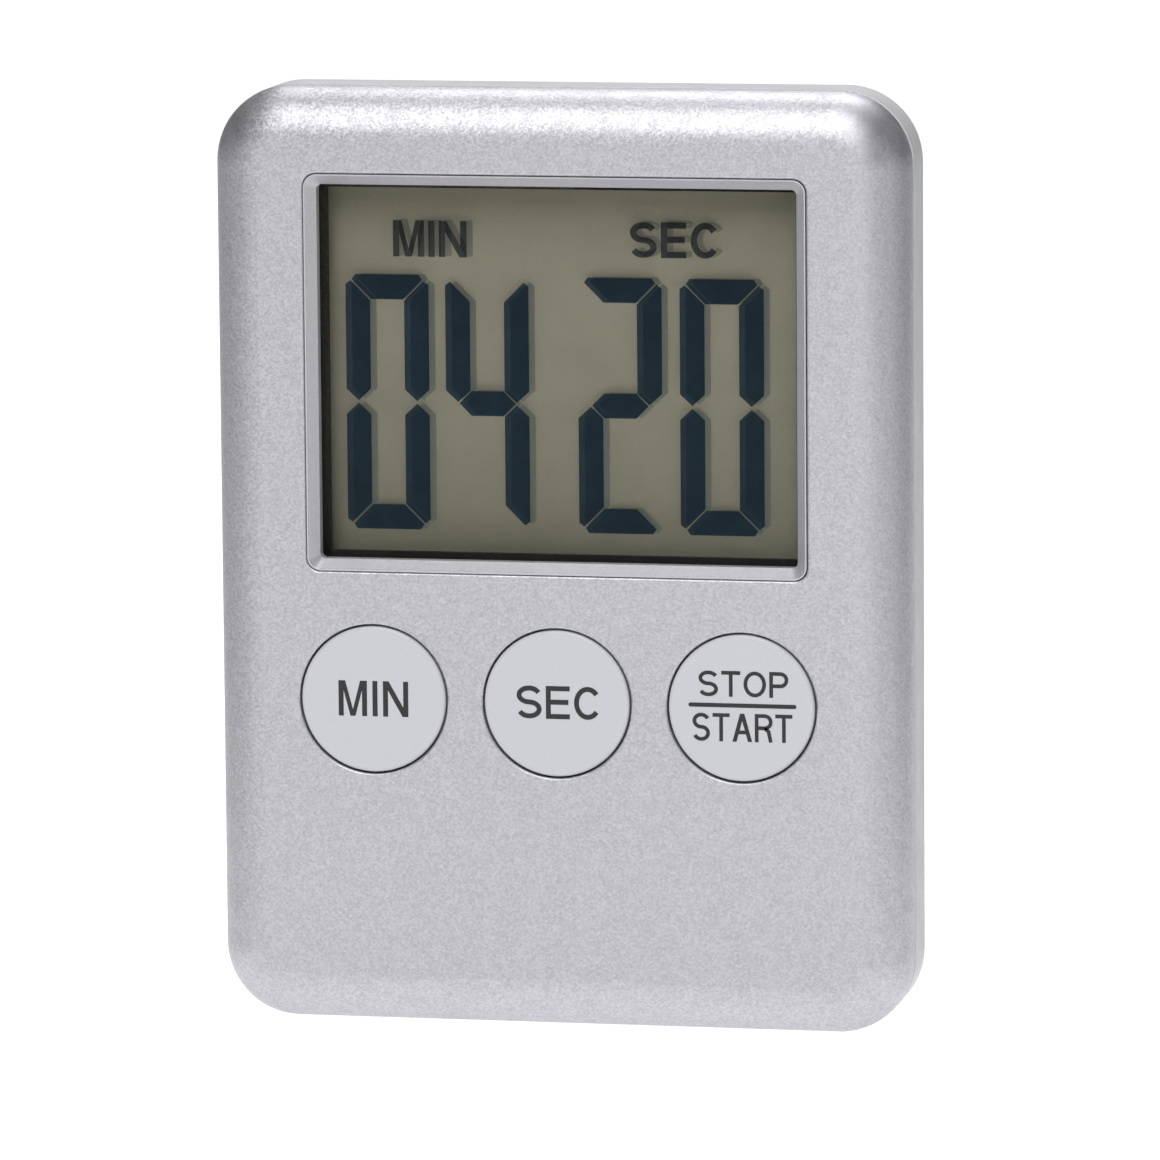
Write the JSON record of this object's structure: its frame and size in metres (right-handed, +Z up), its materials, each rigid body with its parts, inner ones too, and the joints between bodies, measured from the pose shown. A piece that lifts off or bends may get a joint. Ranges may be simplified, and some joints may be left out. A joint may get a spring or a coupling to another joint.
{
  "type": "digital kitchen timer",
  "caption": "Slim silver digital countdown timer with a liquid crystal display, round keys, fold-out stand and magnetic back.",
  "frame": {"origin": "centre of the flat rear face that the magnets hold against a steel surface", "axes": "+Z up the height, +X to the right as seen from the front, the display faces -Y"},
  "size_m": [0.0522, 0.0096, 0.07],
  "materials": {
    "silver_paint": "silver metallic paint on plastic",
    "silver_trim": "smooth silver lacquer",
    "clear_lens": "clear acrylic",
    "black_foam": "black sponge",
    "polariser_film": "grey-green film",
    "lcd_glass": "clear glass",
    "black_plastic": "fine grain",
    "conductive_rubber": "layered rubber",
    "board_laminate": "green solder mask",
    "steel": "zinc plated",
    "carbon_ink": "matt carbon",
    "black_epoxy": "black epoxy",
    "plated_can": "nickel plated",
    "chip_ceramic": "fired ceramic",
    "silicone": "translucent silicone",
    "cell_seal_plastic": "moulded nylon",
    "cell_paste": "pressed powder",
    "brass_sheet": "thin rolled brass",
    "grey_plastic": "fine moulded grain",
    "key_plastic": "satin",
    "ferrite": "pressed ferrite"
  },
  "bodies": {
    "case": {"battery_cell_can": "plated_can", "battery_cell_cap": "plated_can", "battery_cell_core": "cell_paste", "battery_cell_seal": "cell_seal_plastic", "battery_contact_negative": "plated_can", "battery_contact_positive": "plated_can", "board_screws": "steel", "boost_inductor": "black_epoxy", "case_screws": "steel", "chip_blob": "black_epoxy", "chip_capacitors": "chip_ceramic", "chip_resistors": "chip_ceramic", "circuit_board": "board_laminate", "crystal_can": "plated_can", "display_gasket": "black_foam", "display_lens": "clear_lens", "dome_min": "silicone", "dome_sec": "silicone", "dome_start_stop": "silicone", "driver_transistor": "black_epoxy", "front_shell": "silver_paint", "key_contact_pads": "carbon_ink", "keypad_sheet": "silicone", "lcd_front_glass": "lcd_glass", "lcd_front_polariser": "polariser_film", "lcd_holder": "black_plastic", "lcd_rear_glass": "lcd_glass", "lcd_rear_reflector": "polariser_film", "magnet_left": "ferrite", "magnet_right": "ferrite", "piezo_brass_disc": "brass_sheet", "piezo_ceramic_disc": "chip_ceramic", "piezo_contacts": "plated_can", "rear_shell": "grey_plastic", "stand_pin": "steel", "window_trim": "silver_trim", "zebra_strip_lower": "conductive_rubber", "zebra_strip_upper": "conductive_rubber"},
    "door": {"battery_door": "grey_plastic"},
    "key_min": {"button_min": "key_plastic", "carbon_pill_min": "carbon_ink"},
    "key_sec": {"button_sec": "key_plastic", "carbon_pill_sec": "carbon_ink"},
    "key_start_stop": {"button_start_stop": "key_plastic", "carbon_pill_start_stop": "carbon_ink"},
    "stand": {"kickstand": "grey_plastic"}
  },
  "joints": [
    {"name": "press_min", "type": "slide", "parent": "case", "child": "key_min", "axis": [0, 1, 0], "range_m": [0, 0.0005], "stiffness_N_per_m": 600, "springref_m": -0.0008, "deforming": ["dome_min"]},
    {"name": "press_sec", "type": "slide", "parent": "case", "child": "key_sec", "axis": [0, 1, 0], "range_m": [0, 0.0005], "stiffness_N_per_m": 600, "springref_m": -0.0008, "deforming": ["dome_sec"]},
    {"name": "press_start_stop", "type": "slide", "parent": "case", "child": "key_start_stop", "axis": [0, 1, 0], "range_m": [0, 0.0005], "stiffness_N_per_m": 600, "springref_m": -0.0008, "deforming": ["dome_start_stop"]},
    {"name": "stand_hinge", "type": "hinge", "parent": "case", "child": "stand", "pos_m": [0, -0.00095, -0.0122], "axis": [-1, 0, 0], "range_deg": [0, 120]},
    {"name": "door_twist", "type": "hinge", "parent": "case", "child": "door", "pos_m": [0, 0, -0.0236], "axis": [0, 1, 0], "range_deg": [0, 50]}
  ]
}
